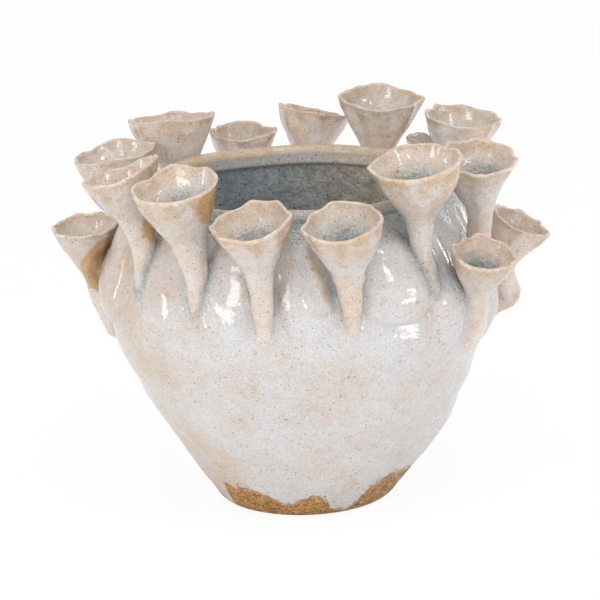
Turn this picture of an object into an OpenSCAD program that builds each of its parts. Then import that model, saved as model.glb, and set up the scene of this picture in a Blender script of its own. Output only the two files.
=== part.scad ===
// Hand-built stoneware flower pot: a hollow body with a rolled rim and sixteen small trumpets,
// each a thin wavy cup on a tapering stem, luted to the shoulder all the way round.
// Millimetres. The origin is the centre of the foot, +Z is up and -Y is the front.

/* [Body] */
// Height of the pot from the foot to the top of the rim
pot_h = 252; // [235:1:275]
// Widest diameter of the body
belly_d = 294; // [280:1:320]
// Height of the widest place
belly_z = 153; // [135:1:168]
// Diameter of the flat foot
foot_d = 114; // [96:1:136]
// How far the rounded edge of the foot spreads past the flat
foot_spread = 14; // [8:1:18]
// Height of the rounded edge of the foot
foot_lift = 9; // [6:1:12]
// Lean of the side just above the foot, from upright, in degrees
side_lean = 34; // [28:1:38]
// Thickness of the body's wall
wall_t = 8; // [5:0.5:10]
// Thickness of the floor
floor_t = 12; // [9:0.5:18]
// Depth of the hollow under the foot
foot_hollow = 3; // [1:0.5:5]
// Width of the ring that the foot stands on
foot_ring_w = 14; // [8:1:24]

/* [Neck and rim] */
// Clear diameter of the mouth, inside the rim
mouth_d = 210; // [190:1:214]
// Thickness of the rolled rim, from the mouth outwards
rim_w = 11; // [9:0.5:14]
// Height of the upright band inside the rim
band_h = 8.5; // [6:0.5:12]
// Height of the neck from the shoulder to the top of the rim
neck_h = 16; // [14:1:22]
// How far the foot of the neck spreads past the rim
neck_spread = 3; // [1:0.5:6]
// Lean of the shoulder where it meets the neck, from upright, in degrees
shoulder_lean = 23; // [16:1:28]

/* [Trumpets] */
// Thickness of the clay at a cup's lip
lip_t = 2.6; // [2:0.1:3.4]
// Thickness of the clay round the bore where a cup becomes its stem
stem_wall = 4.5; // [3.5:0.1:5]
// How far the lip of a cup waves up and down
lip_wave = 1.8; // [0:0.1:3]
// How far the lip of a cup is out of round, in and out
lip_warp = 1.5; // [0:0.1:2.5]

/* [Hidden] */
rim_r = mouth_d / 2 + rim_w;
neck_r = rim_r + neck_spread;
neck_z = pot_h - neck_h;
foot_r = foot_d / 2;
belly_r = belly_d / 2;
glaze = [0.84, 0.81, 0.77];
glaze_warm = [0.85, 0.78, 0.70];

// The point at t, from 0 to 1, on the curve from the first of the points p to the last. The
// points between draw the curve towards themselves.
function bend(p, t) =
    len(p) == 1 ? p[0] : bend([for (i = [1:len(p) - 1]) (1 - t) * p[i - 1] + t * p[i]], t);
function curve(p, steps) = [for (i = [0:steps]) bend(p, i / steps)];
function unit(v) = v / norm(v);

// The body's outline as [radius, height]. Each stretch takes an inset, which is 0 for the
// outside and the wall's thickness for the inside.
side_dir = [sin(side_lean), cos(side_lean)];
side_in = [-cos(side_lean), sin(side_lean)];
shoulder_dir = [-sin(shoulder_lean), cos(shoulder_lean)];
shoulder_in = [-cos(shoulder_lean), -sin(shoulder_lean)];
side_start = [foot_r + foot_spread, foot_lift];
side_pull = belly_z * 0.28;
belly_pull = belly_z * 0.2;
neck_pull = (neck_z - belly_z) * 0.46;
foot_edge = [
    [foot_r, 0], [foot_r + foot_spread * 0.55, 0], side_start - side_dir * foot_lift * 0.6, side_start
];
function side(inset) = [
    side_start + side_in * inset,
    side_start + side_in * inset + side_dir * side_pull,
    [belly_r - inset, belly_z - belly_pull],
    [belly_r - inset, belly_z]
];
function shoulder(inset) = [
    [belly_r - inset, belly_z],
    [belly_r - inset, belly_z + belly_pull * 0.75],
    [neck_r, neck_z] + shoulder_in * inset - shoulder_dir * neck_pull,
    [neck_r, neck_z] + shoulder_in * inset
];

steps = 12;
roll_r = rim_w / 2;
roll_z = pot_h - roll_r;
outside = concat(curve(foot_edge, 4), curve(side(0), steps), curve(shoulder(0), steps));
inside = concat(curve(side(wall_t), steps), curve(shoulder(wall_t), steps));
inside_above_floor = [for (p = inside) if (p.y > floor_t + 2) p];
roll = [for (a = [0:15:180]) [mouth_d / 2 + roll_r + roll_r * cos(a), roll_z + roll_r * sin(a)]];
band_foot = [mouth_d / 2, roll_z - band_h];
under_band = [mouth_d / 2 + rim_w * 0.45, roll_z - band_h - 2];

// Radius of the outside of the wall at a height, and which way is up along it
wall_line = [for (p = outside) [p.y, p.x]];
function wall_r(z) = lookup(z, wall_line);
function up_wall(turn, z) =
    let (rise = 6, step = wall_r(z + rise) - wall_r(z - rise))
    unit(outward(turn) * step + [0, 0, 2 * rise]);

// The trumpets, counted round the pot from the front towards +X. Turns and leans are in degrees.
// A turn is the place round the pot, from the front.
MOUTH = 1; // turn, distance of the mouth's centre past the rim, and its rise over the rim
CUP = 2;   // width across the lip, depth from the lip to the stem
LEAN = 3;  // lean of the cup outwards, and sideways towards a greater turn
TAIL = 4;  // turn, drop of the stem's end below the rim
STEM = 5;  // thickness of the stem under the cup, and at its end
BOW = 6;   // places that draw the stem aside: turn, distance past the rim, drop below the rim
TRUMPETS = [
    ["trumpet_01", [11.5, 44, 2], [60, 47], [12.5, -9.5], [15, 88], [20, 8], []],
    ["trumpet_02", [35.5, 34, 37], [69, 52], [1, -9.5], [43, 66], [17, 8], []],
    ["trumpet_03", [54.5, 52, -40], [50, 38], [18, -6.5], [60, 116], [17, 11], []],
    ["trumpet_04", [68, 34, 24], [54, 40], [11, -9.5], [75, 76], [22, 12], []],
    ["trumpet_05", [98, 58, -46], [47, 30], [25.5, -13.5], [101, 121], [22, 21],
        [[96, 8, 100], [98, 84, 114]]],
    ["trumpet_06", [122, 39, 25], [59, 45], [5.5, -7], [118, 75], [19, 10], []],
    ["trumpet_07", [137, 52, -4], [52, 40], [7, -6], [135, 84], [18, 10], []],
    ["trumpet_08", [151.5, 28, 33], [66, 50], [-1, -4.5], [151, 68], [19, 10], []],
    ["trumpet_09", [174, 44, 16], [57.5, 44], [8, -12], [171, 78], [18, 10], []],
    ["trumpet_10", [196, 34, 5.5], [54, 41], [-2.5, -1.5], [197, 80], [18, 10], []],
    ["trumpet_11", [220.5, 34, 24.5], [68, 51], [7.5, -3.5], [220, 72], [20, 11], []],
    ["trumpet_12", [244, 42, 7.5], [64, 48], [6.5, 4], [243, 80], [19, 11], []],
    ["trumpet_13", [265.5, 48, -35], [51.5, 38], [6, 7.5], [270, 114], [20, 14], []],
    ["trumpet_14", [299, 35, 25.5], [58.5, 44], [14, -10], [301, 63], [20, 10], []],
    ["trumpet_15", [325.5, 42, 27], [65, 50], [9.5, -2.5], [327, 72], [21, 10], []],
    ["trumpet_16", [347.5, 44, 4.5], [59.5, 45], [12.5, -6.5], [349, 92], [18, 12], []]
];

// Directions at a place round the pot: away from its axis, and along it to a greater turn
function outward(turn) = [sin(turn), -cos(turn), 0];
function sideways(turn) = [cos(turn), sin(turn), 0];

// A trumpet's middle line runs from the centre of its mouth, along the cup's own axis, and comes
// down along the wall to the stem's end, whose middle lies in the wall's surface.
function mouth_axis(t) =
    unit(outward(t[MOUTH][0]) * tan(t[LEAN][0]) + sideways(t[MOUTH][0]) * tan(t[LEAN][1]) + [0, 0, 1]);
function place(turn, past_rim, rise) = outward(turn) * (rim_r + past_rim) + [0, 0, pot_h + rise];
function tail_place(t) =
    let (z = pot_h - t[TAIL][1]) outward(t[TAIL][0]) * wall_r(z) + [0, 0, z];
function middle_line(t) =
    let (
        mouth = place(t[MOUTH][0], t[MOUTH][1], t[MOUTH][2]),
        tail = tail_place(t),
        pull = norm(mouth - tail) / 3
    )
    concat(
        [mouth, mouth - mouth_axis(t) * pull],
        [for (b = t[BOW]) place(b[0], b[1], -b[2])],
        [tail + up_wall(t[TAIL][0], tail.z) * pull, tail]
    );
function line_length(line) =
    let (p = curve(line, 12)) [for (i = [1:12]) norm(p[i] - p[i - 1])] * [for (i = [1:12]) 1];
function line_dir(line, t) = unit(bend(line, t + 0.01) - bend(line, t - 0.01));

// The cup narrows to the stem as a cone, rounded off where it meets the stem and swelled a
// little by a soft S, and the stem tapers to its tip
cone_share = 0.6;
cone_round = 0.1;
function cone(x) = (1 - x + sqrt(pow(1 - x, 2) + pow(cone_round, 2))) / 2;
function soft_s(x) = x < 1 ? (1 + cos(180 * pow(max(x, 0), 1.15))) / 2 : 0;
function flare(x) = cone_share * cone(x) + (1 - cone_share) * soft_s(x);
function stem_radius(t, s, length) =
    let (x = max(0, s - t[CUP][1]) / (length - t[CUP][1]))
    ((1 - x) * t[STEM][0] + x * t[STEM][1]) / 2;
function outer_radius(t, s, length) =
    stem_radius(t, s, length) + (t[CUP][0] - t[STEM][0]) / 2 * flare(s / t[CUP][1]);
function clay_at(t, s) = lip_t + (stem_wall - lip_t) * min(1, max(0, s) / t[CUP][1]);

// One ring of points round the middle line, at a distance s below the lip. The lip's waves fade
// out down the cup.
sides = 24;
function ring(t, line, length, s, radius) =
    let (
        at = s / length, dir = line_dir(line, at), centre = bend(line, at),
        u = unit(sideways(t[MOUTH][0]) - dir * (sideways(t[MOUTH][0]) * dir)), v = cross(dir, u),
        fade = max(0, 1 - s / t[CUP][1]), seed = t[MOUTH][0] * 7
    )
    [for (j = [0:sides - 1])
        let (
            a = 360 * j / sides,
            wave = fade * lip_wave * (0.6 * sin(3 * a + seed) + 0.4 * sin(5 * a + 2 * seed)),
            warp = fade * lip_warp * (0.6 * sin(2 * a + seed) + 0.4 * sin(4 * a + 3 * seed))
        )
        centre + (u * cos(a) + v * sin(a)) * (radius + warp) - dir * wave];

// A trumpet before it is set against the body: outside up from the stem's end to the lip, over
// the lip, and down inside to the round end of the bore
cup_rings = 6;
stem_rings = 5;
bore_past_cup = 8;
module raw_trumpet(t) {
    line = middle_line(t);
    length = line_length(line);
    depth = t[CUP][1];
    lip_r = t[CUP][0] / 2;
    end_r = t[STEM][1] / 2;
    bends = stem_rings + 2 * len(t[BOW]);
    stem_stations = [for (i = [bends:-1:1]) depth + (length - depth) * i / bends];
    cup_stations = [for (i = [cup_rings:-1:1]) depth * i / cup_rings];
    bore_stations = concat([for (i = [1:cup_rings]) depth * i / cup_rings], [depth + bore_past_cup]);
    rings = concat(
        [ring(t, line, length, length + end_r * 0.6, end_r * 0.7)],
        [for (s = concat(stem_stations, cup_stations))
            ring(t, line, length, s, outer_radius(t, s, length))],
        [ring(t, line, length, lip_t / 2, lip_r)],
        [ring(t, line, length, 0, lip_r - lip_t / 2)],
        [ring(t, line, length, lip_t / 2, lip_r - lip_t)],
        [for (s = bore_stations)
            ring(t, line, length, s, outer_radius(t, s, length) - clay_at(t, s))]
    );
    stem_end = bend(line, 1 + end_r / length);
    bore_end = bend(line, (depth + bore_past_cup + 3) / length);
    points = concat([stem_end], [for (r = rings) each r], [bore_end]);
    last = len(points) - 1;
    faces = concat(
        [for (j = [0:sides - 1]) [0, 1 + j, 1 + (j + 1) % sides]],
        [for (i = [0:len(rings) - 2], j = [0:sides - 1])
            let (a = 1 + i * sides + j, b = 1 + i * sides + (j + 1) % sides)
            each [[a, a + sides, b + sides], [a, b + sides, b]]],
        [for (j = [0:sides - 1]) [last, last - sides + (j + 1) % sides, last - sides + j]]
    );
    polyhedron(points, faces, convexity = 6);
}

// The body's outside as a solid, which the trumpets are cut to fit
module body_outside() {
    rotate_extrude($fn = 96) polygon(concat([[0, 0]], outside, [[rim_r, roll_z], [0, roll_z]]));
}

// The slope from the foot's ring up to the hollow, and the slope from the wall down to the floor
hollow_run = 3;
floor_run = 6;
function reversed(list) = [for (i = [len(list) - 1:-1:0]) list[i]];

module pot_body() {
    ring_r = foot_r - foot_ring_w;
    color(glaze) rotate_extrude($fn = 96) polygon(concat(
        [[0, foot_hollow], [ring_r - hollow_run, foot_hollow], [ring_r, 0]],
        outside,
        roll,
        [band_foot, under_band],
        reversed(inside_above_floor),
        [[inside_above_floor[0].x - floor_run, floor_t], [0, floor_t]]
    ));
}

module trumpet(t) {
    color(glaze_warm) difference() {
        raw_trumpet(t);
        body_outside();
    }
}

pot_body();
for (t = TRUMPETS) trumpet(t);
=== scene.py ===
import math

import bpy
import numpy as np
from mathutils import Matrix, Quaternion, Vector


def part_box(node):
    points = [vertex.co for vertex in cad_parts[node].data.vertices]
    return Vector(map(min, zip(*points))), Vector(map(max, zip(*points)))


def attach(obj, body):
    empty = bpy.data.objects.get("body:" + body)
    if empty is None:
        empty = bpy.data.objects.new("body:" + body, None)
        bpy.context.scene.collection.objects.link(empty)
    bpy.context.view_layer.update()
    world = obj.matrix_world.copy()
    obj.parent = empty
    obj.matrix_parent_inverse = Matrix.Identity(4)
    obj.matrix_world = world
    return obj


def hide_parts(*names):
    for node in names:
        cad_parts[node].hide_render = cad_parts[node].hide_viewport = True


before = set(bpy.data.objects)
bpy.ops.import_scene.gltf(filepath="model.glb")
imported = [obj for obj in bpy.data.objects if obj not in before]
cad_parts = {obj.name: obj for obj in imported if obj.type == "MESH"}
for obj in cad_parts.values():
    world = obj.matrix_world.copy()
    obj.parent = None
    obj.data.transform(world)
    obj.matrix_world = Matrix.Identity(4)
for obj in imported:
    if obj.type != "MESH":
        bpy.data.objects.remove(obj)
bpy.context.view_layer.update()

# Viewpoint. The photograph looks down on the pot from about 3 m away and 15 degrees above
# level, through a long lens. The picture is turned slightly, so the pot leans left in it.
camera_place = Vector((0, -2.9, 0.933))
camera_aim = Vector((-0.0005, 0, 0.1545))
picture_turn = -1.9
focal_length = 234


def put_in_scene(name, data):
    thing = bpy.data.objects.new(name, data)
    bpy.context.scene.collection.objects.link(thing)
    return thing


camera_data = bpy.data.cameras.new("camera")
camera_data.lens = focal_length
camera_data.sensor_width = 36
camera = put_in_scene("camera", camera_data)
camera.location = camera_place
camera.rotation_mode = "QUATERNION"
level_view = (camera_aim - camera_place).to_track_quat("-Z", "Y")
camera.rotation_quaternion = level_view @ Quaternion((0, 0, 1), math.radians(picture_turn))
bpy.context.scene.camera = camera

# Pot body. Stoneware coiled and pinched by hand: a round belly on a narrow foot, drawn in to a
# neck whose rim is rolled over outside a plain upright band. The wall is left full between the
# trumpets, where the thumbs pressed their stems on. Sizes are in millimetres.
MM = 0.001
body_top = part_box("pot_body")[1]
pot_h = round(body_top.z / MM, 1)
belly_r = round(body_top.x / MM, 1)
belly_z = 153
foot_r = 57
foot_spread = 14
foot_lift = 9
side_lean = math.radians(34)
wall = 8
floor_z = 12
hollow = 3
foot_ring = 14
mouth_r = 105
roll_r = 5.5
band_h = 8.5
neck_h = 16
neck_spread = 3
shoulder_lean = math.radians(23)
rim_r = mouth_r + 2 * roll_r
roll_z = pot_h - roll_r
neck_r = rim_r + neck_spread
neck_z = pot_h - neck_h


def bezier(points, steps):
    """Points on the curve from the first of the points to the last, and the share of the way."""
    share = np.linspace(0, 1, steps + 1)
    t = share[:, None, None]
    p = np.repeat(np.array(points, float)[None], steps + 1, 0)
    while p.shape[1] > 1:
        p = (1 - t) * p[:, :-1] + t * p[:, 1:]
    return p[:, 0], share


def way_along(points):
    """How far along a line each of its points is."""
    return np.concatenate([[0], np.cumsum(np.linalg.norm(np.diff(points, axis=0), axis=1))])


def turn_of(points):
    """Turn round the pot's axis from the front, in degrees, positive towards the right."""
    return np.degrees(np.arctan2(points[..., 0], -points[..., 1]))


def unit(vectors):
    return vectors / np.maximum(np.linalg.norm(vectors, axis=-1), 1e-9)[..., None]


def spaced(points, spacing):
    """The same line with its points about that far apart."""
    way = way_along(points)
    stops = np.linspace(0, way[-1], max(2, round(way[-1] / spacing) + 1))
    return np.stack([np.interp(stops, way, points[:, k]) for k in range(points.shape[1])], 1)


# The wall's directions and ends at the foot and the neck, how far it keeps its direction there
# and on both sides of the belly, and the steps of its curves
side_dir = np.array([math.sin(side_lean), math.cos(side_lean)])
side_in = np.array([-math.cos(side_lean), math.sin(side_lean)])
shoulder_dir = np.array([-math.sin(shoulder_lean), math.cos(shoulder_lean)])
shoulder_in = np.array([-math.cos(shoulder_lean), -math.sin(shoulder_lean)])
side_start = np.array([foot_r + foot_spread, foot_lift])
neck_foot = np.array([neck_r, neck_z])
side_pull = belly_z * 0.28
belly_pull = belly_z * 0.2
shoulder_pull = belly_z * 0.15
neck_pull = (neck_z - belly_z) * 0.46
wall_steps = 40
foot_steps = 8


def foot_to_neck(inset):
    """Outline of the wall as radius and height, set in from the outside by that much."""
    start = side_start + side_in * inset
    end = neck_foot + shoulder_in * inset
    belly = np.array([belly_r - inset, belly_z])
    side, _ = bezier([
        start, start + side_dir * side_pull, belly - [0, belly_pull], belly], wall_steps)
    shoulder, _ = bezier([
        belly, belly + [0, shoulder_pull], end - shoulder_dir * neck_pull, end], wall_steps)
    return np.vstack([side, shoulder[1:]])


foot_edge, _ = bezier([
    [foot_r, 0], [foot_r + foot_spread * 0.55, 0],
    side_start - side_dir * foot_lift * 0.6, side_start], foot_steps)
outline = np.vstack([foot_edge, foot_to_neck(0)[1:], [[rim_r, roll_z]]])


def soft_step(x):
    x = np.clip(x, 0, 1)
    return x * x * (3 - 2 * x)


def pillow(across, up, edge):
    """A swelling that is 1 in its middle and falls to 0 where across or up reach 1."""
    squareness = 2.6
    inside = np.clip(1 - np.abs(across) ** squareness - np.abs(up) ** squareness, 0, 1)
    return inside ** edge


# Each swelling: its turn round the pot from the front at the top and at the bottom, half its
# width there in degrees, its top and bottom height, how far it stands out, and its edge, where
# a small value is steep
SWELLINGS = [
    [0.5, 2, 8, 8.5, 240, 160, 6, 0.6],
    [29, 31.5, 11, 14.5, 238, 167, 10, 0.55],
    [48, 50, 8, 8, 238, 142, 8, 0.6],
    [67, 67, 8, 8, 220, 140, 1.5, 0.8],
    [88, 88, 10, 11, 250, 120, 6, 0.8],
    [110, 110, 9, 9, 236, 140, 4, 0.8],
    [127, 127, 7, 7, 236, 160, 4, 0.8],
    [143, 143, 7, 7, 236, 165, 4, 0.8],
    [161, 161, 9, 9, 238, 165, 4.5, 0.7],
    [184, 184, 11, 12, 238, 160, 5, 0.7],
    [208, 208, 11, 11, 238, 165, 5, 0.7],
    [232, 232, 11, 11, 238, 165, 4.5, 0.7],
    [257, 257, 10, 12, 236, 150, 4, 0.8],
    [280, 280, 13, 15, 258, 150, 13, 0.6],
    [313, 314, 10, 11, 238, 158, 5, 0.7],
    [337, 337.5, 8.5, 9.5, 240, 158, 5.5, 0.6],
]
# Broader, softer lumps lower on the wall, given the same way
SWELLINGS += [
    [75, 80, 26, 30, 120, 25, 3, 1.2],
    [80, 82, 32, 34, 82, 12, 4.5, 0.9],
    [20, 25, 22, 26, 150, 60, 1.5, 1.2],
    [320, 325, 20, 24, 130, 40, 1.5, 1.2],
    [180, 175, 30, 30, 140, 30, 2, 1.2],
]
# Narrow ridges where a thumb pushed the clay up beside a stem
SWELLINGS += [
    [2, 9.5, 1.8, 2.2, 232, 182, 1.6, 0.9],
    [58, 57, 2, 2, 198, 146, 2, 0.9],
    [319, 336, 1.8, 2.2, 226, 178, 1.4, 0.9],
]


def uneven(turn, z, seed, wave_length):
    """Hand-made unevenness of about 1 either way, with waves of about that length up the wall."""
    draw = np.random.default_rng(seed)
    waves = 7
    usual_sum = 2.6
    total = 0
    for _ in range(waves):
        waves_round = draw.integers(1, 10)
        wave_up = 2 * math.pi / draw.uniform(0.45 * wave_length, 1.6 * wave_length)
        phase = draw.uniform(0, 2 * math.pi)
        total = total + np.cos(np.radians(turn) * waves_round + z * wave_up + phase)
    return total / usual_sum


# Depth and length of the hands' and the fingers' waves in the wall and of those inside it, and
# how far below the rim and above the foot the outer ones and the swellings fade out
hand_depth = 0.55
hand_wave = 60
finger_depth = 0.12
finger_wave = 22
inside_depth = 1.2
inside_wave = 70
fade_at_rim = 22
fade_at_foot = 14


def swell(turn, z):
    """How far the outside of the wall stands out from its plain turned outline."""
    out = hand_depth * uneven(turn, z, 5, hand_wave)
    out = out + finger_depth * uneven(turn * 3, z, 8, finger_wave)
    for top_turn, low_turn, top_half, low_half, top, low, bulge, edge in SWELLINGS:
        down = np.clip((top - z) / (top - low), 0, 1)
        middle = top_turn + (low_turn - top_turn) * down
        half = top_half + (low_half - top_half) * down
        across = ((turn - middle + 180) % 360 - 180) / half
        up = (z - (top + low) / 2) / ((top - low) / 2)
        out = out + bulge * pillow(across, up, edge)
    return out * soft_step((roll_z + 1 - z) / fade_at_rim) * np.clip(z / fade_at_foot, 0, 1)


# How far the rim sways in and out and up and down, and over how much of the height under it
rim_wander = 0.9
rim_wave = 0.8
sway_over = 20
sway_from = neck_z - 12


def rim_sway(turn, z):
    """How far the wall sways outwards and upwards with the rim."""
    with_rim = np.clip((z - sway_from) / sway_over, 0, 1)
    out = rim_wander * uneven(turn, 0, 11, hand_wave)
    up = rim_wave * uneven(turn, 0, 12, hand_wave)
    return out * with_rim, up * with_rim


# Rows of points from the middle of the underside up the outside, over the rim and down the
# inside to the middle of the floor. They lie closest where the trumpets are luted on.
lower_row = 2.3
upper_row = 1.35
band_row = 1.7
inner_row = 5
floor_row = 8
upper_from = 108
middle_r = 1
ring_slope = 3
floor_corner_up = 4
floor_corner_in = 7
below = spaced(outline[outline[:, 1] <= upper_from], lower_row)
above = spaced(outline[outline[:, 1] >= below[-1, 1]], upper_row)
roll_angle = np.radians(np.arange(20, 181, 20))
roll = [mouth_r + roll_r, roll_z] + roll_r * np.stack([np.cos(roll_angle), np.sin(roll_angle)], 1)
inner_wall = foot_to_neck(wall)[::-1]
inner_wall = inner_wall[inner_wall[:, 1] > floor_z + floor_corner_up]
ring_inner_edge = [foot_r - foot_ring, 0.3]
ring_outer_edge = [foot_r - 1, 0]
band_top = [mouth_r, roll_z - 1.5]
band_bottom = [mouth_r, roll_z - band_h + 1]
band_edge = [mouth_r + 0.6, roll_z - band_h - 0.3]
under_band = [mouth_r + roll_r * 0.9, neck_z]
floor_edge = [inner_wall[-1, 0] - floor_corner_in, floor_z]
rows = np.vstack([
    spaced(np.array([[middle_r, hollow], [foot_r - foot_ring - ring_slope, hollow]]), floor_row),
    spaced(np.array([ring_inner_edge, ring_outer_edge]), floor_row / 2),
    below,
    above[1:],
    roll,
    spaced(np.array([band_top, band_bottom]), band_row),
    [band_edge, under_band],
    spaced(inner_wall, inner_row),
    spaced(np.array([floor_edge, [middle_r, floor_z]]), floor_row),
])
outer_from = int(np.argmin(np.abs(rows - below[0]).sum(1)))
outer_to = int(np.argmin(np.abs(rows - above[-1]).sum(1)))
roll_to = outer_to + len(roll)
columns = 416
turns = np.arange(columns) * 360 / columns


def body_points():
    """Turn, radius and height of the body's points, one row of them for each place on its outline."""
    turn = turns[None, :]
    r = rows[:, :1] + 0 * turn
    z = rows[:, 1:] + 0 * turn
    row = np.arange(len(rows))[:, None]
    outside = (row >= outer_from) & (row <= outer_to)
    inside = row > roll_to
    depth = inside_depth * np.clip((neck_z - 6 - z) / 20, 0, 1)
    r = r + np.where(outside, swell(turn, z), 0)
    r = r + np.where(inside, uneven(turn, z, 21, inside_wave) * depth, 0)
    sway_out, sway_up = rim_sway(turn, z)
    return turn + 0 * r, r + sway_out, z + sway_up


turn_grid, r_grid, z_grid = body_points()
bearing = np.radians(turn_grid)
body = np.stack([r_grid * np.sin(bearing), -r_grid * np.cos(bearing), z_grid], -1)


def wall_radius(turn, z):
    """Radius of the finished outside of the wall."""
    plain = np.interp(z, outline[:, 1], outline[:, 0])
    return plain + swell(turn, z) + rim_sway(turn, z)[0]


def wall_gap(points):
    """How far points are outside the wall, and the direction straight away from it."""
    x, y, z = points[..., 0], points[..., 1], points[..., 2]
    turn = turn_of(points)
    r = np.hypot(x, y)
    step = 1.5
    slope = (wall_radius(turn, z + step) - wall_radius(turn, z - step)) / (2 * step)
    flat = 1 / np.sqrt(1 + slope ** 2)
    away = np.stack([x / r * flat, y / r * flat, -slope * flat], -1)
    gap = (r - wall_radius(turn, z)) * flat
    over = z > roll_z
    roll_out = np.stack([r - mouth_r - roll_r, z - roll_z], -1)
    roll_gap = np.linalg.norm(roll_out, axis=-1)
    round_away = roll_out / np.maximum(roll_gap, 0.01)[..., None]
    over_away = [x / r * round_away[..., 0], y / r * round_away[..., 0], round_away[..., 1]]
    over_away = np.stack(over_away, -1)
    return np.where(over, roll_gap - roll_r, gap), np.where(over[..., None], over_away, away)


def ring_faces(count, around):
    """Four-sided faces of a skin of that many closed rings, one after another."""
    ring = np.arange(count - 1)[:, None] * around
    here = np.arange(around)[None, :]
    there = (here + 1) % around
    corners = [ring + here, ring + there, ring + around + there, ring + around + here]
    return np.stack(corners, -1).reshape(-1, 4)


# Glaze. One dip of a milky, speckled stoneware glaze covers pot and trumpets: glossy, warm
# white, bluish where it runs together, tan where it thins over lips and ridges, and dotted with
# iron out of the clay. It stops short of the foot, where the toasted clay is bare.
def add(tree, kind, settings, inputs, output=0):
    """Adds a node with its settings, gives its inputs values or links, and returns an output."""
    made = tree.nodes.new(kind)
    for name, value in settings.items():
        setattr(made, name, value)
    for socket, value in inputs.items() if isinstance(inputs, dict) else enumerate(inputs):
        if isinstance(value, bpy.types.NodeSocket):
            tree.links.new(value, made.inputs[socket])
        else:
            made.inputs[socket].default_value = value
    return made.outputs[output] if len(made.outputs) else made


MATH = "ShaderNodeMath"
VECTOR_MATH = "ShaderNodeVectorMath"
SPAN = "ShaderNodeMapRange"
PLUS = {"operation": "ADD"}
MINUS = {"operation": "SUBTRACT"}
TIMES = {"operation": "MULTIPLY"}
OVER = {"operation": "DIVIDE"}
POWER = {"operation": "POWER"}
LEAST = {"operation": "MINIMUM"}
MOST = {"operation": "MAXIMUM"}
COSINE = {"operation": "COSINE"}
SCALE = {"operation": "SCALE"}


def linear(hex_colour):
    """The linear colour that a shader socket takes for an sRGB one in hexadecimal."""
    parts = [int(hex_colour[k:k + 2], 16) / 255 for k in (1, 3, 5)]
    return [c / 12.92 if c <= 0.04045 else ((c + 0.055) / 1.055) ** 2.4 for c in parts] + [1]


# A mix takes its share at socket 0 and two colours at 6 and 7, and gives a colour at 2
NOISE = "ShaderNodeTexNoise"
CELLS = "ShaderNodeTexVoronoi"
MIX = "ShaderNodeMix"
COLOUR = {"data_type": "RGBA"}
MULTIPLIED = {"data_type": "RGBA", "blend_type": "MULTIPLY"}
SOFT_STEP = {"interpolation_type": "SMOOTHSTEP"}


def empty_tree(owner):
    owner.use_nodes = True
    owner.node_tree.nodes.clear()
    return owner.node_tree


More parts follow.
